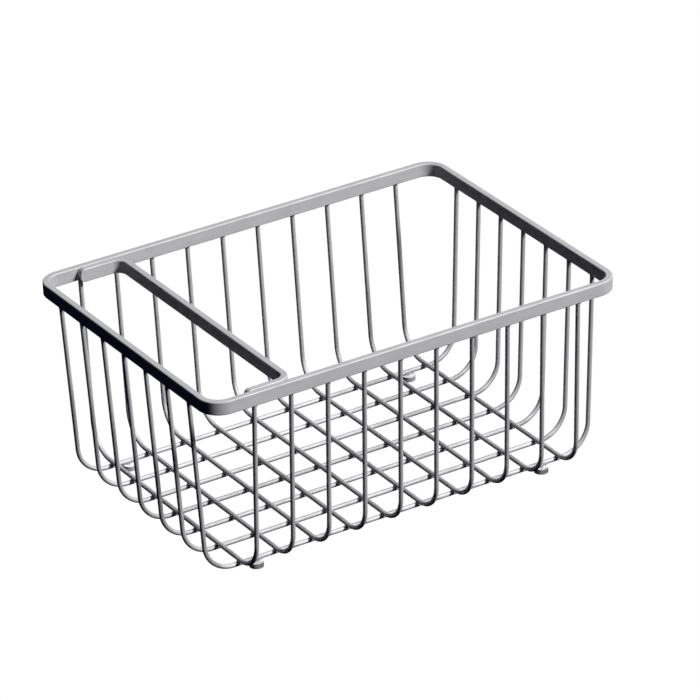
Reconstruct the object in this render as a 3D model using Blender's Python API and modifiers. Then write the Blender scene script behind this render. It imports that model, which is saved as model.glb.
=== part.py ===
"""Rectangular wire basket with a flat-bar rim, a welded handle bar and four button feet.

Metres, +Z up. The origin is on the ground, under the middle of the basket. X runs along the basket with the
handle at the -X end, and Y runs across it.
"""
import math

import bpy

COLLECTION_NAME = "wire_basket"

# Flat bar of the rim and the handle
BAR_HEIGHT = 0.0123
BAR_THICKNESS = 0.006
BAR_EDGE_RADIUS = 0.0012
BAR_EDGE_STEPS = 2
BAR_EDGE_ANGLE = math.radians(45.0)

# Rim, its bends measured on the inner face
RIM_LENGTH = 0.400
RIM_WIDTH = 0.2905
RIM_BEND_RADIUS = 0.014
RIM_BEND_STEPS = 10

# Handle bar, its bends measured on the inner face, its legs' ends rounded at the top and at the bottom
GRIP_GAP = 0.0708
HANDLE_LEG_LENGTH = 0.0441
HANDLE_BEND_RADIUS = 0.008
HANDLE_BEND_STEPS = 8
HANDLE_TIP_RADIUS = 0.0045
HANDLE_TIP_STEPS = 6

# Wires, their bends measured on the centre line
WIRE_DIAMETER = 0.004
WIRE_BEND_RADIUS = 0.027
WIRE_LEAN = math.radians(3.0)
WIRE_BEND_STEPS = 10
WIRE_SIDE_RESOLUTION = 2
CROSS_WIRE_COUNT = 10
LONG_WIRE_COUNT = 7
INSIDE_DEPTH = 0.1694

# Straight run that the outer wires leave free beside the bends of the wires that they cross
CROSS_WIRE_END_CLEARANCE = 0.0053
LONG_WIRE_END_CLEARANCE = 0.0033

# Button feet, each standing inwards of the outer cross wire beside it
FOOT_DIAMETER = 0.0125
FOOT_DISC_HEIGHT = 0.0048
FOOT_NECK_DIAMETER = 0.006
FOOT_NECK_HEIGHT = 0.0004
FOOT_EDGE_RADIUS = 0.0003
FOOT_FROM_CROSS_WIRE = 0.0163
FOOT_EDGE_STEPS = 3
FOOT_TURN_STEPS = 32

# Gap that welded neighbours keep between their faces
WELD_GAP = 0.0003
WELD_TOLERANCE = 0.00002

# Heights, from the ground up
wire_radius = WIRE_DIAMETER / 2
long_wire_axis_z = FOOT_DISC_HEIGHT + FOOT_NECK_HEIGHT + WELD_GAP + wire_radius
cross_wire_axis_z = long_wire_axis_z + WIRE_DIAMETER + WELD_GAP
rim_top_z = cross_wire_axis_z + wire_radius + INSIDE_DEPTH
rim_bottom_z = rim_top_z - BAR_HEIGHT
wire_top_z = rim_bottom_z - WELD_GAP

# Wires end under the middle of the bar
long_wire_half_span = (RIM_LENGTH - BAR_THICKNESS) / 2
cross_wire_half_span = (RIM_WIDTH - BAR_THICKNESS) / 2
wire_bend_turn = math.pi / 2 - WIRE_LEAN


def clear_scene():
    """Remove the objects that the scene starts with."""
    for scene_object in list(bpy.data.objects):
        bpy.data.objects.remove(scene_object, do_unlink=True)


def new_collection(name):
    """Make a collection and link it to the scene."""
    collection = bpy.data.collections.new(name)
    bpy.context.scene.collection.children.link(collection)
    return collection


def steel(name, colour, roughness):
    """Make a bare steel material."""
    material = bpy.data.materials.new(name)
    material.use_nodes = True
    shader = material.node_tree.nodes["Principled BSDF"]
    shader.inputs["Base Color"].default_value = (*colour, 1.0)
    shader.inputs["Metallic"].default_value = 1.0
    shader.inputs["Roughness"].default_value = roughness
    return material


def rim_steel():
    return steel("rim_satin_steel", (0.62, 0.62, 0.64), 0.30)


def handle_steel():
    return steel("handle_satin_steel", (0.62, 0.62, 0.64), 0.28)


def cross_wire_steel():
    return steel("cross_wire_bright_steel", (0.68, 0.68, 0.70), 0.18)


def long_wire_steel():
    return steel("long_wire_bright_steel", (0.68, 0.68, 0.70), 0.18)


def foot_steel():
    return steel("foot_turned_steel", (0.60, 0.60, 0.61), 0.32)


def arc(centre, radius, start, turn, steps):
    """Points on an arc in a plane, both ends included."""
    angles = [start + turn * step / steps for step in range(steps + 1)]
    return [(centre[0] + radius * math.cos(a), centre[1] + radius * math.sin(a)) for a in angles]


def rounded_rectangle(length, width, radius, steps):
    """Closed outline of a rectangle with round corners, centred on the origin."""
    quarter_turn = math.pi / 2
    x = length / 2 - radius
    y = width / 2 - radius
    corners = [(x, y), (-x, y), (-x, -y), (x, -y)]
    outline = []
    for index, corner in enumerate(corners):
        outline += arc(corner, radius, index * quarter_turn, quarter_turn, steps)
    return outline


def round_long_edges(solid):
    """Join the solid's seams and round its sharp edges."""
    weld = solid.modifiers.new("join_seams", "WELD")
    weld.merge_threshold = WELD_TOLERANCE
    bevel = solid.modifiers.new("rounded_edges", "BEVEL")
    bevel.width = BAR_EDGE_RADIUS
    bevel.segments = BAR_EDGE_STEPS
    bevel.limit_method = "ANGLE"
    bevel.angle_limit = BAR_EDGE_ANGLE


def rim(collection):
    """Closed rectangle of flat bar on edge."""
    outer_radius = RIM_BEND_RADIUS + BAR_THICKNESS
    inner_length = RIM_LENGTH - 2 * BAR_THICKNESS
    inner_width = RIM_WIDTH - 2 * BAR_THICKNESS
    outer = rounded_rectangle(RIM_LENGTH, RIM_WIDTH, outer_radius, RIM_BEND_STEPS)
    inner = rounded_rectangle(inner_length, inner_width, RIM_BEND_RADIUS, RIM_BEND_STEPS)

    curve = bpy.data.curves.new("rim", "CURVE")
    curve.dimensions = "2D"
    curve.fill_mode = "BOTH"
    curve.extrude = BAR_HEIGHT / 2
    for outline in (outer, inner):
        spline = curve.splines.new("POLY")
        spline.points.add(len(outline) - 1)
        for point, (x, y) in zip(spline.points, outline):
            point.co = (x, y, 0.0, 1.0)
        spline.use_cyclic_u = True
    curve.materials.append(rim_steel())
    solid = bpy.data.objects.new("rim", curve)
    solid.location.z = rim_top_z - BAR_HEIGHT / 2
    collection.objects.link(solid)
    round_long_edges(solid)
    return solid


def handle_half_stations():
    """Stations of half of the handle on the +Y side, tip first: (outer point, inner point, half the height)."""
    outer_x = -RIM_LENGTH / 2 + BAR_THICKNESS + GRIP_GAP + BAR_THICKNESS
    leg_y = RIM_WIDTH / 2 - BAR_THICKNESS - WELD_GAP
    leg_tip_x = outer_x - HANDLE_LEG_LENGTH
    outer_radius = HANDLE_BEND_RADIUS + BAR_THICKNESS
    bend_centre = (outer_x - outer_radius, leg_y - outer_radius)
    full_half = BAR_HEIGHT / 2
    quarter_turn = math.pi / 2

    stations = []
    for step in range(HANDLE_TIP_STEPS + 1):
        angle = quarter_turn * step / HANDLE_TIP_STEPS
        x = leg_tip_x + HANDLE_TIP_RADIUS * (1.0 - math.cos(angle))
        half_height = full_half - HANDLE_TIP_RADIUS * (1.0 - math.sin(angle))
        stations.append(((x, leg_y), (x, leg_y - BAR_THICKNESS), half_height))
    outer_side = arc(bend_centre, outer_radius, quarter_turn, -quarter_turn, HANDLE_BEND_STEPS)
    inner_side = arc(bend_centre, HANDLE_BEND_RADIUS, quarter_turn, -quarter_turn, HANDLE_BEND_STEPS)
    stations += [(outer, inner, full_half) for outer, inner in zip(outer_side, inner_side)]
    return stations


def handle_bar(collection):
    """Wide U of flat bar, its legs flat against the inner faces of the long sides."""
    half = handle_half_stations()
    mirrored = [((ox, -oy), (ix, -iy), height) for (ox, oy), (ix, iy), height in reversed(half)]
    middle_z = rim_top_z - BAR_HEIGHT / 2
    points = []
    for (outer_x, outer_y), (inner_x, inner_y), half_height in half + mirrored:
        points += [(outer_x, outer_y, middle_z + half_height), (inner_x, inner_y, middle_z + half_height),
                   (inner_x, inner_y, middle_z - half_height), (outer_x, outer_y, middle_z - half_height)]
    last = len(points) - 4
    faces = [(3, 2, 1, 0), (last, last + 1, last + 2, last + 3)]
    for start in range(0, last, 4):
        for side in range(4):
            following = (side + 1) % 4
            faces.append((start + side, start + following, start + 4 + following, start + 4 + side))
    mesh = bpy.data.meshes.new("handle_bar")
    mesh.from_pydata(points, [], faces)
    mesh.materials.append(handle_steel())
    solid = bpy.data.objects.new("handle_bar", mesh)
    collection.objects.link(solid)
    round_long_edges(solid)
    return solid


def bottom_run_half(half_span, axis_z):
    """Half of the straight bottom run of a U wire that leans in by WIRE_LEAN from its top down."""
    inset = (wire_top_z - axis_z) * math.tan(WIRE_LEAN)
    tangent = WIRE_BEND_RADIUS * math.tan(wire_bend_turn / 2)
    return half_span - inset - tangent


def wire_path(half_span, axis_z):
    """Centre line of a U wire in its own plane, as (across, height) points from one top end to the other."""
    centre = (bottom_run_half(half_span, axis_z), axis_z + WIRE_BEND_RADIUS)
    right_bend = arc(centre, WIRE_BEND_RADIUS, -math.pi / 2, wire_bend_turn, WIRE_BEND_STEPS)
    right_half = right_bend + [(half_span, wire_top_z)]
    left_half = [(-across, height) for across, height in reversed(right_half)]
    return left_half + right_half


def wire_solid(name, points, collection, material):
    """Round wire along a path of straight runs and bends."""
    curve = bpy.data.curves.new(name, "CURVE")
    curve.dimensions = "3D"
    curve.bevel_depth = wire_radius
    curve.bevel_resolution = WIRE_SIDE_RESOLUTION
    curve.use_fill_caps = True
    spline = curve.splines.new("POLY")
    spline.points.add(len(points) - 1)
    for point, place in zip(spline.points, points):
        point.co = (*place, 1.0)
    spline.use_smooth = True
    curve.materials.append(material)
    wire = bpy.data.objects.new(name, curve)
    collection.objects.link(wire)
    return wire


def even_places(outer_place, count):
    """Evenly spaced places from -outer_place to outer_place."""
    pitch = 2 * outer_place / (count - 1)
    return [index * pitch - outer_place for index in range(count)]


def cross_wire_places():
    """Places along the basket, all on the straight bottom run of the long wires."""
    run_half = bottom_run_half(long_wire_half_span, long_wire_axis_z)
    return even_places(run_half - CROSS_WIRE_END_CLEARANCE, CROSS_WIRE_COUNT)


def long_wire_places():
    """Places across the basket, all on the straight bottom run of the cross wires."""
    run_half = bottom_run_half(cross_wire_half_span, cross_wire_axis_z)
    return even_places(run_half - LONG_WIRE_END_CLEARANCE, LONG_WIRE_COUNT)


def cross_wires(collection):
    """U wires across the basket, one at each place along it."""
    material = cross_wire_steel()
    path = wire_path(cross_wire_half_span, cross_wire_axis_z)
    for number, x in enumerate(cross_wire_places(), start=1):
        points = [(x, across, height) for across, height in path]
        wire_solid(f"cross_wire_{number:02d}", points, collection, material)


def long_wires(collection):
    """U wires along the basket, under the cross wires, one at each place across it."""
    material = long_wire_steel()
    path = wire_path(long_wire_half_span, long_wire_axis_z)
    for number, y in enumerate(long_wire_places(), start=1):
        points = [(across, y, height) for across, height in path]
        wire_solid(f"long_wire_{number:02d}", points, collection, material)


def foot_profile():
    """Outer side of a button foot as (radius, height), from the top of its neck down to the ground."""
    neck_radius = FOOT_NECK_DIAMETER / 2
    disc_radius = FOOT_DIAMETER / 2
    neck_top = FOOT_DISC_HEIGHT + FOOT_NECK_HEIGHT
    edge_x = disc_radius - FOOT_EDGE_RADIUS
    quarter_turn = math.pi / 2
    upper_edge = arc((edge_x, FOOT_DISC_HEIGHT - FOOT_EDGE_RADIUS), FOOT_EDGE_RADIUS, quarter_turn, -quarter_turn,
                     FOOT_EDGE_STEPS)
    lower_edge = arc((edge_x, FOOT_EDGE_RADIUS), FOOT_EDGE_RADIUS, 0.0, -quarter_turn, FOOT_EDGE_STEPS)
    neck = [(0.0, neck_top), (neck_radius, neck_top), (neck_radius, FOOT_DISC_HEIGHT)]
    return neck + upper_edge + lower_edge + [(0.0, 0.0)]


def foot_solid(name, x, y, collection, material):
    """Turned button foot standing on the ground at (x, y)."""
    profile = foot_profile()
    mesh = bpy.data.meshes.new(name)
    edges = [(index, index + 1) for index in range(len(profile) - 1)]
    mesh.from_pydata([(radius, 0.0, height) for radius, height in profile], edges, [])
    mesh.materials.append(material)
    foot = bpy.data.objects.new(name, mesh)
    foot.location = (x, y, 0.0)
    collection.objects.link(foot)

    screw = foot.modifiers.new("turned", "SCREW")
    screw.steps = FOOT_TURN_STEPS
    screw.render_steps = FOOT_TURN_STEPS
    screw.use_merge_vertices = True
    screw.merge_threshold = WELD_TOLERANCE
    screw.use_smooth_shade = True
    return foot


def feet(collection):
    """Four feet under the outer long wires, near the outer cross wires."""
    material = foot_steel()
    foot_x = cross_wire_places()[-1] - FOOT_FROM_CROSS_WIRE
    foot_y = long_wire_places()[-1]
    for end, x in (("left", -foot_x), ("right", foot_x)):
        for side, y in (("front", -foot_y), ("back", foot_y)):
            foot_solid(f"foot_{side}_{end}", x, y, collection, material)


def wire_basket():
    """Build the whole basket."""
    clear_scene()
    collection = new_collection(COLLECTION_NAME)
    rim(collection)
    handle_bar(collection)
    cross_wires(collection)
    long_wires(collection)
    feet(collection)


wire_basket()
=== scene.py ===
"""Rectangular wire basket of satin steel: flat-bar rim and handle over U-bent wires, on four button feet."""
import math

import bpy
from mathutils import Matrix, Vector


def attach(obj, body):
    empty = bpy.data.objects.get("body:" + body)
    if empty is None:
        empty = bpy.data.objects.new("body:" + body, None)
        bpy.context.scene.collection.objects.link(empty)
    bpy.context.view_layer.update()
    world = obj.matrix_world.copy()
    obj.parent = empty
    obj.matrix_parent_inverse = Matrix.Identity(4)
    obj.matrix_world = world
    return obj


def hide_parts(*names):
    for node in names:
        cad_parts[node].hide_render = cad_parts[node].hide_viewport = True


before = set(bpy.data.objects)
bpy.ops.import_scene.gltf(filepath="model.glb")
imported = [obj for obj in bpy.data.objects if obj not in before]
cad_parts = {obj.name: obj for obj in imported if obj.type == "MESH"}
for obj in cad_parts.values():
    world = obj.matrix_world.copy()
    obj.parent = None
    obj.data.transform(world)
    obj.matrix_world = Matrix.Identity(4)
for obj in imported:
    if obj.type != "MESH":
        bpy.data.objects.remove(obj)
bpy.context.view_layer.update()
scene = bpy.context.scene


# Camera. A long lens, well away from the basket, stands in front of its left end and looks down on it. It is
# rolled by two degrees, as the picture is.
CAMERA_TURN = math.radians(-30.9102)
CAMERA_RISE = math.radians(27.0075)
CAMERA_ROLL = math.radians(-2.2757)
CAMERA_DISTANCE = 5.0203405
CAMERA_SIDE_STEP = 0.0170682
CAMERA_UP_STEP = -0.0617468
CAMERA_SENSOR = 36.0
CAMERA_LENS = 308.2244
CAMERA_REACH = 50.0
RIM_TOP = 0.1832

towards_camera = Vector((
    math.sin(CAMERA_TURN) * math.cos(CAMERA_RISE),
    -math.cos(CAMERA_TURN) * math.cos(CAMERA_RISE),
    math.sin(CAMERA_RISE),
))
level_right = Vector((0.0, 0.0, 1.0)).cross(towards_camera).normalized()
level_up = towards_camera.cross(level_right)
camera_right = math.cos(CAMERA_ROLL) * level_right + math.sin(CAMERA_ROLL) * level_up
camera_up = math.cos(CAMERA_ROLL) * level_up - math.sin(CAMERA_ROLL) * level_right
camera_place = (
    Vector((0.0, 0.0, RIM_TOP))
    + CAMERA_DISTANCE * towards_camera
    + CAMERA_SIDE_STEP * level_right
    + CAMERA_UP_STEP * level_up
)
camera = bpy.data.objects.new("studio_camera", bpy.data.cameras.new("studio_camera"))
camera.data.sensor_width = CAMERA_SENSOR
camera.data.lens = CAMERA_LENS
camera.data.clip_end = CAMERA_REACH
camera.matrix_world = Matrix.LocRotScale(
    camera_place,
    Matrix((camera_right, camera_up, towards_camera)).transposed().to_quaternion(),
    None,
)
scene.collection.objects.link(camera)
scene.camera = camera


# Rim. One closed ring of 12 x 6 mm flat bar of stainless steel, on edge, bent to four round corners and welded
# end to end. Rolling leaves its long edges softly rounded, and belt finishing leaves a fine grain along it.
RIM_LENGTH = 0.400
RIM_WIDTH = 0.2905
RIM_OUTER_BEND = 0.020
RIM_BEND_STEPS = 20
BAR_HEIGHT = 0.0123
BAR_THICKNESS = 0.006
BAR_EDGE = 0.0012
BAR_EDGE_STEPS = 6
BAR_GRAIN_CELL = (0.018, 0.0004)
BAR_CLOUD_CELL = (0.022, 0.009)
RUN_MAP = "run_and_girth"


def linear(hex_colour):
    """Linear RGBA of an sRGB hex colour."""
    channels = [int(hex_colour[at:at + 2], 16) / 255 for at in (1, 3, 5)]
    return tuple(c / 12.92 if c <= 0.04045 else ((c + 0.055) / 1.055) ** 2.4 for c in channels) + (1.0,)


def add_node(tree, kind, settings=None, **inputs):
    """Node of a kind with its settings, its inputs set to values or linked from other nodes' outputs.

    An input is given by its name, or by its place as _0, _1 and so on where names repeat.
    """
    node = tree.nodes.new(kind)
    for name, value in (settings or {}).items():
        setattr(node, name, value)
    for name, value in inputs.items():
        socket = node.inputs[int(name[1:])] if name[1:].isdigit() else node.inputs[name.replace("_", " ")]
        if isinstance(value, bpy.types.NodeSocket):
            tree.links.new(value, socket)
        else:
            socket.default_value = value
    return node


def run_and_girth(tree, along, around, skip=0.0):
    """Texture place that runs along a bar or wire and around it, in cells of the given sizes in metres."""
    place = add_node(tree, "ShaderNodeUVMap", {"uv_map": RUN_MAP})
    return add_node(
        tree, "ShaderNodeMapping",
        Vector=place.outputs["UV"],
        Location=(skip, skip, 0.0),
        Scale=(1.0 / along, 1.0 / around, 1.0),
    ).outputs["Vector"]


def work_steel(tree, pattern, grain, colours, spread, roughness, depth, strength):
    """Bare steel worked by a tool: dark and dull where the pattern is low, and raised where the grain is high.

    The colours are reached at the spread to both sides of the pattern's middle. Returns the colour's output.
    """
    shader = tree.nodes["Principled BSDF"]
    shader.inputs["Metallic"].default_value = 1.0
    tone = add_node(tree, "ShaderNodeValToRGB", Fac=pattern)
    for stop, colour, side in zip(tone.color_ramp.elements, colours, (-1, 1)):
        stop.position = 0.5 + side * spread
        stop.color = linear(colour)
    tree.links.new(tone.outputs[0], shader.inputs["Base Color"])
    dull, bright = roughness
    sheen = add_node(
        tree, "ShaderNodeMapRange", Value=pattern, From_Min=0.3, From_Max=0.7, To_Min=dull, To_Max=bright)
    tree.links.new(sheen.outputs[0], shader.inputs["Roughness"])
    relief = add_node(tree, "ShaderNodeBump", Strength=strength, Distance=depth, Height=grain)
    tree.links.new(relief.outputs[0], shader.inputs["Normal"])
    return tone.outputs[0]


def satin_stainless_flat_bar():
    """Stainless flat bar, rolled, then belt-finished along its length.

    To the eye it is an even soft grey without mirror images, with faint long streaks. The real grain is about
    0.1 mm wide. It is drawn four times as wide, so that it shows.
    """
    material = bpy.data.materials.new("satin_stainless_flat_bar")
    material.use_nodes = True
    tree = material.node_tree
    grain_place = run_and_girth(tree, *BAR_GRAIN_CELL)
    cloud_place = run_and_girth(tree, *BAR_CLOUD_CELL, skip=3.0)
    grain = add_node(
        tree, "ShaderNodeTexNoise", Vector=grain_place, Scale=1.0, Detail=3.0, Roughness=0.55).outputs[0]
    cloud = add_node(tree, "ShaderNodeTexNoise", Vector=cloud_place, Scale=1.0, Detail=2.0).outputs[0]
    streaks = add_node(tree, "ShaderNodeMix", {"data_type": "FLOAT"}, _0=0.45, _2=grain, _3=cloud).outputs[0]
    work_steel(
        tree, streaks, grain,
        colours=("#c0c0c3", "#cececf"), spread=0.16, roughness=(0.90, 0.82), depth=0.00004, strength=0.35)
    return material


def arc(centre, radius, start, turn, steps):
    """Points and outward normals along a circular arc."""
    angles = [start + turn * step / steps for step in range(steps + 1)]
    directions = [(math.cos(angle), math.sin(angle)) for angle in angles]
    return [((centre[0] + radius * x, centre[1] + radius * y), (x, y)) for x, y in directions]


def bar_section(inner, outer, cut=0.0, edge=BAR_EDGE):
    """Section of the bar as (offset, height) points and normals, its long edges rounded.

    The cut is what is missing of its height at the top and at the bottom.
    """
    low = RIM_TOP - BAR_HEIGHT + cut
    high = RIM_TOP - cut
    corners = [
        (outer - edge, high - edge, 0.0),
        (inner + edge, high - edge, 0.5 * math.pi),
        (inner + edge, low + edge, math.pi),
        (outer - edge, low + edge, 1.5 * math.pi),
    ]
    section = []
    for offset, height, start in corners:
        section += arc((offset, height), edge, start, 0.5 * math.pi, BAR_EDGE_STEPS)
    return section


def bar_ring(point, normal, section):
    """Section set square to the bar's path at a point of its plan."""
    ring = []
    for (offset, height), (across, upward) in section:
        place = Vector((point[0] + offset * normal[0], point[1] + offset * normal[1], height))
        ring.append((place, Vector((across * normal[0], across * normal[1], upward))))
    return ring


def lengths_along(points):
    """Length from the first point to each of the points."""
    lengths = [0.0]
    for here, there in zip(points, points[1:]):
        lengths.append(lengths[-1] + (there - here).length)
    return lengths


def face_normal(points, face):
    """Newell normal of a face's outline."""
    normal = Vector((0.0, 0.0, 0.0))
    for here, there in zip(face, (*face[1:], face[0])):
        normal += points[here].cross(points[there])
    return normal.normalized()


def skin(rings, closed):
    """Skin over rings of (point, normal), capped where it isn't closed.

    Returns its points, its faces, and for each corner its normal and its place along and around the skin.
    """
    around = len(rings[0])
    points = [point for ring in rings for point, _ in ring]
    normals = [normal for ring in rings for _, normal in ring]
    first_face = (0, 1, around + 1, around)
    if face_normal(points, first_face).dot(normals[0]) < 0.0:
        return skin([ring[::-1] for ring in rings], closed)
    centres = [sum((point for point, _ in ring), Vector()) / around for ring in rings]
    run = lengths_along(centres + centres[:1])
    widest = max(rings, key=lambda ring: (ring[0][0] - ring[around // 2][0]).length)
    girth = lengths_along([point for point, _ in widest] + [widest[0][0]])
    faces, corner_normals, corner_places = [], [], []
    spans = len(rings) if closed else len(rings) - 1
    for ring in range(spans):
        here = ring * around
        there = (ring + 1) % len(rings) * around
        for side in range(around):
            following = (side + 1) % around
            face = (here + side, here + following, there + following, there + side)
            faces.append(face)
            corner_normals += [normals[vertex] for vertex in face]
            corner_places += [
                (run[ring], girth[side]),
                (run[ring], girth[side + 1]),
                (run[ring + 1], girth[side + 1]),
                (run[ring + 1], girth[side]),
            ]
    if not closed:
        first = list(range(around))[::-1]
        last = [(len(rings) - 1) * around + side for side in range(around)]
        for cap in (first, last):
            faces.append(tuple(cap))
            corner_normals += [face_normal(points, cap)] * around
            corner_places += [(points[vertex].z, points[vertex].x + points[vertex].y) for vertex in cap]
    return points, faces, corner_normals, corner_places


def add_piece(name, skins, material, nodes=()):
    """Piece made of skins, riding on the basket and standing for its CAD nodes."""
    points, faces, corner_normals, corner_places = [], [], [], []
    for skin_points, skin_faces, skin_normals, skin_places in skins:
        shift = len(points)
        points += skin_points
        faces += [tuple(vertex + shift for vertex in face) for face in skin_faces]
        corner_normals += skin_normals
        corner_places += skin_places
    mesh = bpy.data.meshes.new(name)
    mesh.from_pydata(points, [], faces)
    mesh.polygons.foreach_set("use_smooth", [True] * len(faces))
    run_map = mesh.uv_layers.new(name=RUN_MAP)
    run_map.uv.foreach_set("vector", [number for place in corner_places for number in place])
    mesh.normals_split_custom_set(corner_normals)
    mesh.materials.append(material)
    piece = bpy.data.objects.new(name, mesh)
    scene.collection.objects.link(piece)
    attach(piece, "root")
    if nodes:
        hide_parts(*nodes)
    return piece


rim_outline = []
for corner, (x_side, y_side) in enumerate(((1, 1), (-1, 1), (-1, -1), (1, -1))):
    bend_centre = (
        x_side * (RIM_LENGTH / 2 - RIM_OUTER_BEND),
        y_side * (RIM_WIDTH / 2 - RIM_OUTER_BEND),
    )
    rim_outline += arc(bend_centre, RIM_OUTER_BEND, 0.5 * math.pi * corner, 0.5 * math.pi, RIM_BEND_STEPS)
bare_bar_section = bar_section(-BAR_THICKNESS, 0.0)
rim_rings = [bar_ring(point, normal, bare_bar_section) for point, normal in rim_outline]
flat_bar_steel = satin_stainless_flat_bar()
add_piece("basket_rim", [skin(rim_rings, closed=True)], flat_bar_steel, ["rim"])


# Handle. The same flat bar bent to a wide U, its legs laid flat against the inside of the rim and welded there
# from below, flush with its top. The legs' ends are ground round at the top and at the bottom.
HANDLE_GRIP_GAP = 0.0708
HANDLE_LEG_LENGTH = 0.0441
HANDLE_INNER_BEND = 0.008
HANDLE_BEND_STEPS = 16
HANDLE_TIP_RADIUS = 0.0045
HANDLE_TIP_EDGE = 0.0003
HANDLE_TIP_STEPS = 12
WELD_GAP = 0.0003

handle_outer_bend = HANDLE_INNER_BEND + BAR_THICKNESS
handle_outer_x = HANDLE_GRIP_GAP + 2 * BAR_THICKNESS - RIM_LENGTH / 2
handle_leg_y = RIM_WIDTH / 2 - BAR_THICKNESS - WELD_GAP
handle_bend_centre = (handle_outer_x - handle_outer_bend, handle_leg_y - handle_outer_bend)
handle_tip_x = handle_outer_x - HANDLE_LEG_LENGTH


def handle_tip_rings():
    """Rings of the rounded end of one leg. Its long edges get their full rounding towards the leg."""
    rings = []
    for step in range(HANDLE_TIP_STEPS + 1):
        angle = 0.5 * math.pi * step / HANDLE_TIP_STEPS
        along = HANDLE_TIP_RADIUS * (1.0 - math.cos(angle))
        cut = HANDLE_TIP_RADIUS * (1.0 - math.sin(angle))
        edge = HANDLE_TIP_EDGE + (BAR_EDGE - HANDLE_TIP_EDGE) * (step / HANDLE_TIP_STEPS) ** 3
        section = bar_section(-BAR_THICKNESS, 0.0, cut, edge)
        ring = bar_ring((handle_tip_x + along, handle_leg_y), (0.0, 1.0), section)
        for _, normal in ring:
            upward = normal.z
            normal.x = -abs(upward) * math.cos(angle)
            normal.z = upward * math.sin(angle)
        rings.append(ring)
    return rings


bend = arc(handle_bend_centre, handle_outer_bend, 0.5 * math.pi, -0.5 * math.pi, HANDLE_BEND_STEPS)
handle_half = handle_tip_rings() + [bar_ring(point, normal, bare_bar_section) for point, normal in bend]
mirrored_half = [
    [(Vector((p.x, -p.y, p.z)), Vector((n.x, -n.y, n.z))) for p, n in ring] for ring in handle_half
]
handle_rings = handle_half + mirrored_half[::-1]
add_piece("basket_handle", [skin(handle_rings, closed=False)], flat_bar_steel, ["handle_bar"])


# Cross wires. Ten U wires of 4 mm bright drawn stainless wire across the basket. Their bottoms lie on the long
# wires, and their ends butt against the underside of the rim.
WIRE_RADIUS = 0.002
WIRE_SIDES = 24
WIRE_BEND_RADIUS = 0.027
WIRE_BEND_STEPS = 18
WIRE_LEAN = math.radians(3.0)
WIRE_END_SINK = 0.0006
WIRE_LINE_CELL = (0.030, 0.0003)
WIRE_CLOUD_CELL = (0.014, 0.006)
CROSS_WIRE_COUNT = 10
CROSS_WIRE_REACH = 0.14225
CROSS_WIRE_HEIGHT = 0.0117
CROSS_WIRE_OUTER_PLACE = 0.15753

rim_underside = RIM_TOP - BAR_HEIGHT
wire_reach_height = rim_underside - WELD_GAP


def bright_drawn_wire():
    """Stainless wire, drawn through dies and polished.

    To the eye it is smooth, a little brighter than the bars, with a soft broad highlight and faint draw lines
    along it. The real draw lines are about 0.05 mm wide and are drawn as 0.3 mm, so that they show.
    """
    material = bpy.data.materials.new("bright_drawn_stainless_wire")
    material.use_nodes = True
    tree = material.node_tree
    line_place = run_and_girth(tree, *WIRE_LINE_CELL)
    cloud_place = run_and_girth(tree, *WIRE_CLOUD_CELL, skip=5.0)
    lines = add_node(tree, "ShaderNodeTexNoise", Vector=line_place, Scale=1.0, Detail=2.0).outputs[0]
    cloud = add_node(tree, "ShaderNodeTexNoise", Vector=cloud_place, Scale=1.0, Detail=2.0).outputs[0]
    draw = add_node(tree, "ShaderNodeMix", {"data_type": "FLOAT"}, _0=0.5, _2=lines, _3=cloud).outputs[0]
    work_steel(
        tree, draw, lines,
        colours=("#bebec1", "#cdcdce"), spread=0.16, roughness=(0.84, 0.76), depth=0.00003, strength=0.3)
    return material


def wire_path(reach, height):
    """Centre line of a U wire as (across, height) points with (across, height) directions.

    The reach is half the U's width at the height where the wire's axis meets the weld under the rim.
    """
    turn = 0.5 * math.pi - WIRE_LEAN
    inset = (wire_reach_height - height) * math.tan(WIRE_LEAN) + WIRE_BEND_RADIUS * math.tan(turn / 2)
    bend_centre = (reach - inset, height + WIRE_BEND_RADIUS)
    path = []
    for (across, up), (x, z) in arc(bend_centre, WIRE_BEND_RADIUS, -0.5 * math.pi, turn, WIRE_BEND_STEPS):
        path.append(((across, up), (-z, x)))
    end_height = rim_underside + WIRE_END_SINK
    end_across = reach + (end_height - wire_reach_height) * math.tan(WIRE_LEAN)
    path.append(((end_across, end_height), path[-1][1]))
    return [((-across, up), (x, -z)) for (across, up), (x, z) in path[::-1]] + path


def wire_rings(path, place, along_x):
    """Rings of a round wire in an upright plane: across is X for the long wires and Y for the cross wires."""
    rings = []
    for (across, height), (along, climb) in path:
        ring = []
        for side in range(WIRE_SIDES):
            angle = 2 * math.pi * side / WIRE_SIDES
            sideways = math.cos(angle)
            inward = math.sin(angle)
            in_plane = (-inward * climb, inward * along)
            if along_x:
                centre = Vector((across, place, height))
                normal = Vector((in_plane[0], sideways, in_plane[1]))
            else:
                centre = Vector((place, across, height))
                normal = Vector((-sideways, in_plane[0], in_plane[1]))
            ring.append((centre + WIRE_RADIUS * normal, normal))
        rings.append(ring)
    return rings


def evenly(outer, count):
    """Places spread evenly from -outer to outer."""
    return [outer * (2 * index / (count - 1) - 1) for index in range(count)]


wire_steel = bright_drawn_wire()
cross_path = wire_path(CROSS_WIRE_REACH, CROSS_WIRE_HEIGHT)
cross_places = evenly(CROSS_WIRE_OUTER_PLACE, CROSS_WIRE_COUNT)
for index, place in enumerate(cross_places, start=1):
    rings = wire_rings(cross_path, place, along_x=False)
    name = f"cross_wire_{index:02d}"
    add_piece(f"basket_{name}", [skin(rings, closed=False)], wire_steel, [name])


# Long wires. Seven U wires of the same drawn wire along the basket. They pass under the cross wires, which are
# spot-welded to them, and end under the short sides of the rim.
LONG_WIRE_COUNT = 7
LONG_WIRE_REACH = 0.1970
LONG_WIRE_HEIGHT = 0.0077
LONG_WIRE_OUTER_PLACE = 0.10501

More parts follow.
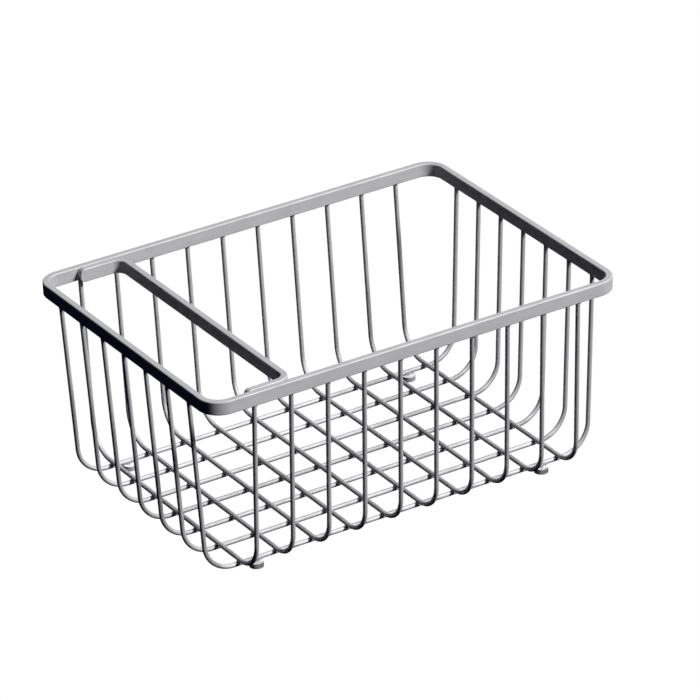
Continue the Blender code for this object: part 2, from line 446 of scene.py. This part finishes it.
long_path = wire_path(LONG_WIRE_REACH, LONG_WIRE_HEIGHT)
long_places = evenly(LONG_WIRE_OUTER_PLACE, LONG_WIRE_COUNT)
for index, place in enumerate(long_places, start=1):
    rings = wire_rings(long_path, place, along_x=True)
    name = f"long_wire_{index:02d}"
    add_piece(f"basket_{name}", [skin(rings, closed=False)], wire_steel, [name])


# Feet. Four stainless buttons, turned on a lathe with a short neck in the middle of the top. Each is welded by
# its neck under an outer long wire.
FOOT_X = 0.14123
FOOT_RADIUS = 0.00625
FOOT_DISC_HEIGHT = 0.0048
FOOT_EDGE = 0.0003
FOOT_EDGE_STEPS = 4
FOOT_NECK_RADIUS = 0.003
FOOT_NECK_TOP = 0.0053
FOOT_NECK_FILLET = 0.00015
FOOT_SIDES = 64
FOOT_RING_CELL = (0.0009, 0.012)


def turned_steel():
    """Stainless buttons, turned on a lathe and faced on top.

    The turned side is a duller grey with fine rings around it. Faces that turn upward are mixed to a near-white
    base colour, a painted highlight on the top. The real rings are about 0.2 mm apart and are drawn 0.9 mm
    apart, so that they show.
    """
    material = bpy.data.materials.new("turned_stainless_button")
    material.use_nodes = True
    tree = material.node_tree
    ring_place = run_and_girth(tree, *FOOT_RING_CELL, skip=7.0)
    rings = add_node(tree, "ShaderNodeTexNoise", Vector=ring_place, Scale=1.0, Detail=2.0).outputs[0]
    side = work_steel(
        tree, rings, rings,
        colours=("#b4b4b7", "#dcdcde"), spread=0.15, roughness=(0.85, 0.75), depth=0.00006, strength=0.4)
    # Painted highlight: the more a face turns upward, the nearer its base colour goes to near-white, lighter
    # than the turned side.
    normal = add_node(tree, "ShaderNodeNewGeometry").outputs["Normal"]
    facing = add_node(tree, "ShaderNodeSeparateXYZ", _0=normal)
    top = add_node(tree, "ShaderNodeMapRange", Value=facing.outputs["Z"], From_Min=0.5, From_Max=0.95)
    tone = add_node(
        tree, "ShaderNodeMix", {"data_type": "RGBA"}, _0=top.outputs[0], _6=side, _7=linear("#f1f1f2"))
    tree.links.new(tone.outputs[2], tree.nodes["Principled BSDF"].inputs["Base Color"])
    return material


def turned_skin(profile, centre, sides, axis=Vector((0.0, 0.0, 1.0)), bulge=0.0):
    """Skin turned about an upright or leaning axis from (radius, height) points and normals, the highest first.

    A bulge makes it that much wider in three places around, which are turned differently at each centre.
    """
    bulges = 3
    turn_per_metre = 900.0
    rings = []
    for (radius, height), (outward, upward) in profile:
        ring = []
        for side in range(sides):
            angle = 2 * math.pi * side / sides
            across = Vector((math.cos(angle), math.sin(angle), 0.0))
            swell = 1.0 + bulge * math.sin(bulges * angle + turn_per_metre * (centre[0] + 2 * centre[1]))
            place = centre + height * axis + radius * swell * across
            ring.append((place, outward * across + upward * axis))
        rings.append(ring)
    return skin(rings[::-1], closed=False)


foot_profile = [
    ((FOOT_NECK_RADIUS, FOOT_NECK_TOP), (1.0, 0.0)),
    ((FOOT_NECK_RADIUS, FOOT_DISC_HEIGHT + FOOT_NECK_FILLET), (1.0, 0.0)),
    ((FOOT_NECK_RADIUS + FOOT_NECK_FILLET, FOOT_DISC_HEIGHT), (0.0, 1.0)),
]
edge_radius = FOOT_RADIUS - FOOT_EDGE
edge_top = (edge_radius, FOOT_DISC_HEIGHT - FOOT_EDGE)
edge_bottom = (edge_radius, FOOT_EDGE)
foot_profile += arc(edge_top, FOOT_EDGE, 0.5 * math.pi, -0.5 * math.pi, FOOT_EDGE_STEPS)
foot_profile += arc(edge_bottom, FOOT_EDGE, 0.0, -0.5 * math.pi, FOOT_EDGE_STEPS)
button_steel = turned_steel()
for side_name, y_side in (("front", -1), ("back", 1)):
    for end_name, x_side in (("left", -1), ("right", 1)):
        name = f"foot_{side_name}_{end_name}"
        foot_centre = Vector((x_side * FOOT_X, y_side * LONG_WIRE_OUTER_PLACE, 0.0))
        foot = turned_skin(foot_profile, foot_centre, FOOT_SIDES)
        add_piece(f"basket_{name}", [foot], button_steel, [name])


# Welds. Each wire's end is fused to the underside of the rim, each crossing is spot-welded, each foot is welded
# to its wire, and a bead runs under each leg of the handle. Cleaning after welding leaves them dull and lumpy.
END_WELD_REACH = 0.0011
END_WELD_DROP = 0.0013
END_WELD_SINK = 0.0008
END_WELD_STEPS = 5
END_WELD_SIDES = 20
END_WELD_BULGE = 0.06
BAR_FLAT_HALF = 0.0023
NUGGET_RADIUS = 0.0023
NUGGET_HALF_HEIGHT = 0.0008
NUGGET_STEPS = 6
NUGGET_SIDES = 16
NUGGET_BULGE = 0.08
FOOT_NUGGET_RADIUS = 0.0024
FOOT_NUGGET_HEIGHT = 0.0054
LEG_BEAD_RADIUS = 0.0010
LEG_BEAD_RIPPLE = 0.0015
LEG_BEAD_RIPPLE_SHARE = 0.09
LEG_BEAD_SEAT = 0.6 * BAR_EDGE
LEG_BEAD_BLUNTNESS = 0.08
LEG_BEAD_FULLNESS = 0.4
LEG_BEAD_STEPS = 44
LEG_BEAD_SIDES = 10
WELD_LUMPS_PER_METRE = 1000.0


def cleaned_weld():
    """Weld metal of the same steel, pickled after welding.

    To the eye it is duller and darker than the wires, with small lumps of about a millimetre.
    """
    material = bpy.data.materials.new("pickled_weld_bead")
    material.use_nodes = True
    tree = material.node_tree
    place = add_node(tree, "ShaderNodeTexCoord").outputs["Object"]
    lumps = add_node(
        tree, "ShaderNodeTexNoise", Vector=place, Scale=WELD_LUMPS_PER_METRE, Detail=2.0).outputs[0]
    work_steel(
        tree, lumps, lumps,
        colours=("#a09f9f", "#bebdbd"), spread=0.15, roughness=(0.9, 0.75), depth=0.00008, strength=0.4)
    return material


def end_weld_profile():
    """Hollow bead from the underside of the rim, at height 0, down to the round of a wire."""
    profile = [((WIRE_RADIUS + END_WELD_REACH, END_WELD_SINK), (1.0, 0.0))]
    for step in range(END_WELD_STEPS + 1):
        angle = 0.5 * math.pi * step / END_WELD_STEPS
        radius = WIRE_RADIUS + END_WELD_REACH * (1.0 - math.sin(angle))
        drop = END_WELD_DROP * (1.0 - math.cos(angle))
        profile.append(((radius, -drop), (math.cos(angle) * 0.7 + 0.3, -math.sin(angle))))
    return profile


def end_weld(x, y, along_x, lean):
    """Bead around the end of a wire, no wider than the flat under the bar, which runs along X or along Y."""
    across = 1 if along_x else 0
    axis = Vector((0.0, 0.0, 1.0))
    axis[across] = lean
    centre = Vector((x, y, rim_underside))
    bead = turned_skin(end_weld_profile(), centre, END_WELD_SIDES, axis.normalized(), END_WELD_BULGE)
    for point in bead[0]:
        offset = point[across] - centre[across]
        if abs(offset) > BAR_FLAT_HALF:
            point[across] = centre[across] + math.copysign(BAR_FLAT_HALF, offset)
    return bead


def nugget(x, y, height, radius=NUGGET_RADIUS):
    """Flat round nugget in the crevice between two crossed wires, or between a wire and a foot."""
    profile = []
    for step in range(1, NUGGET_STEPS):
        angle = math.pi * (0.5 - step / NUGGET_STEPS)
        profile.append((
            (radius * math.cos(angle), NUGGET_HALF_HEIGHT * math.sin(angle)),
            (math.cos(angle) * NUGGET_HALF_HEIGHT / radius, math.sin(angle)),
        ))
    return turned_skin(profile, Vector((x, y, height)), NUGGET_SIDES, bulge=NUGGET_BULGE)


def leg_bead(y_side):
    """Rippled bead in the groove between the rim and one leg of the handle, seen from below."""
    start = handle_tip_x + HANDLE_TIP_RADIUS
    length = handle_outer_x - handle_outer_bend - start
    seam_y = y_side * (RIM_WIDTH / 2 - BAR_THICKNESS - WELD_GAP / 2)
    rings = []
    for step in range(LEG_BEAD_STEPS + 1):
        share = step / LEG_BEAD_STEPS
        along = length * share
        taper_angle = math.pi * (LEG_BEAD_BLUNTNESS + (1.0 - 2 * LEG_BEAD_BLUNTNESS) * share)
        ripple = 1.0 + LEG_BEAD_RIPPLE_SHARE * math.sin(2 * math.pi * along / LEG_BEAD_RIPPLE)
        radius = LEG_BEAD_RADIUS * math.sin(taper_angle) ** LEG_BEAD_FULLNESS * ripple
        centre = Vector((start + along, seam_y, rim_underside + LEG_BEAD_SEAT))
        ring = []
        for side in range(LEG_BEAD_SIDES):
            angle = 2 * math.pi * side / LEG_BEAD_SIDES
            across = Vector((0.0, math.cos(angle), math.sin(angle)))
            ring.append((centre + radius * across, across))
        rings.append(ring)
    return skin(rings, closed=False)


weld_metal = cleaned_weld()
wire_lean = math.tan(WIRE_LEAN)
lean_at_rim = WELD_GAP * wire_lean
cross_end_y = CROSS_WIRE_REACH + lean_at_rim
long_end_x = LONG_WIRE_REACH + lean_at_rim
cross_end_welds = [
    end_weld(place, side * cross_end_y, True, side * wire_lean) for place in cross_places for side in (-1, 1)
]
long_end_welds = [
    end_weld(side * long_end_x, place, False, side * wire_lean) for place in long_places for side in (-1, 1)
]
crossing_height = (CROSS_WIRE_HEIGHT + LONG_WIRE_HEIGHT) / 2
nuggets = [nugget(x, y, crossing_height) for x in cross_places for y in long_places]
foot_welds = [
    nugget(x_side * FOOT_X, y_side * LONG_WIRE_OUTER_PLACE, FOOT_NUGGET_HEIGHT, FOOT_NUGGET_RADIUS)
    for x_side in (-1, 1) for y_side in (-1, 1)
]
add_piece("basket_cross_wire_end_welds", cross_end_welds, weld_metal)
add_piece("basket_long_wire_end_welds", long_end_welds, weld_metal)
add_piece("basket_crossing_welds", nuggets, weld_metal)
add_piece("basket_handle_leg_welds", [leg_bead(-1), leg_bead(1)], weld_metal)
add_piece("basket_foot_welds", foot_welds, weld_metal)


# Floor. A table of opal glass, lit from below to an even white. It lies a hair under the feet, so that the two
# surfaces don't fall together.
FLOOR_HALF = 6.0
FLOOR_HEIGHT = -0.0003

floor_mesh = bpy.data.meshes.new("light_table")
floor_corners = [
    (x_side * FLOOR_HALF, y_side * FLOOR_HALF, FLOOR_HEIGHT)
    for x_side, y_side in ((-1, -1), (1, -1), (1, 1), (-1, 1))
]
floor_mesh.from_pydata(floor_corners, [], [(0, 1, 2, 3)])
floor = bpy.data.objects.new("light_table", floor_mesh)
scene.collection.objects.link(floor)
opal = bpy.data.materials.new("opal_glass_light_table")
opal.use_nodes = True
opal.node_tree.nodes.clear()
glow = add_node(opal.node_tree, "ShaderNodeEmission", Color=(1.0, 1.0, 1.0, 1.0), Strength=1.0)
add_node(opal.node_tree, "ShaderNodeOutputMaterial", Surface=glow.outputs[0])
floor_mesh.materials.append(opal)
floor.visible_glossy = False
floor.visible_diffuse = False
floor.visible_shadow = False


# Light. A large softbox at the front right, well away from the basket, gives the bright sides and the shadows
# of wire on wire. Dim panels overhead and low at the back right keep the rest readable. The room is white to the
# camera, and gives the steel only a trace of blue, which shows in its darkest faces.
LIGHT_AIM = Vector((0.0, 0.0, 0.1))
KEY_DIRECTION = (0.430, -0.585, 0.688)
KEY_DISTANCE = 9.0
KEY_SIZE = 2.2
KEY_POWER = 1560.0
TOP_DIRECTION = (0.0, 0.0, 1.0)
TOP_POWER = 13.5
BACK_DIRECTION = (0.6, 0.8, -0.2)
BACK_POWER = 40.0
PANEL_DISTANCE = 3.0
PANEL_SIZE = 1.5
ROOM_BLUE = "#000316"


def add_softbox(name, direction, distance, size, power):
    """Round softbox in a direction from the basket, turned to it."""
    lamp = bpy.data.lights.new(name, "AREA")
    lamp.shape = "DISK"
    lamp.size = size
    lamp.energy = power
    box = bpy.data.objects.new(name, lamp)
    box.visible_camera = False
    away = Vector(direction).normalized()
    box.location = LIGHT_AIM + distance * away
    box.rotation_mode = "QUATERNION"
    box.rotation_quaternion = away.to_track_quat("Z", "Y")
    scene.collection.objects.link(box)


add_softbox("key_softbox", KEY_DIRECTION, KEY_DISTANCE, KEY_SIZE, KEY_POWER)
add_softbox("overhead_panel", TOP_DIRECTION, PANEL_DISTANCE, PANEL_SIZE, TOP_POWER)
add_softbox("back_panel", BACK_DIRECTION, PANEL_DISTANCE, PANEL_SIZE, BACK_POWER)

room = bpy.data.worlds.new("studio")
room.use_nodes = True
scene.world = room
room.node_tree.nodes.clear()
ray = add_node(room.node_tree, "ShaderNodeLightPath")
air = add_node(
    room.node_tree, "ShaderNodeMix", {"data_type": "RGBA"},
    _0=ray.outputs["Is Camera Ray"], _6=linear(ROOM_BLUE), _7=(1.0, 1.0, 1.0, 1.0))
light = add_node(room.node_tree, "ShaderNodeBackground", Color=air.outputs[2], Strength=1.0)
add_node(room.node_tree, "ShaderNodeOutputWorld", Surface=light.outputs[0])
scene.view_settings.view_transform = "Standard"
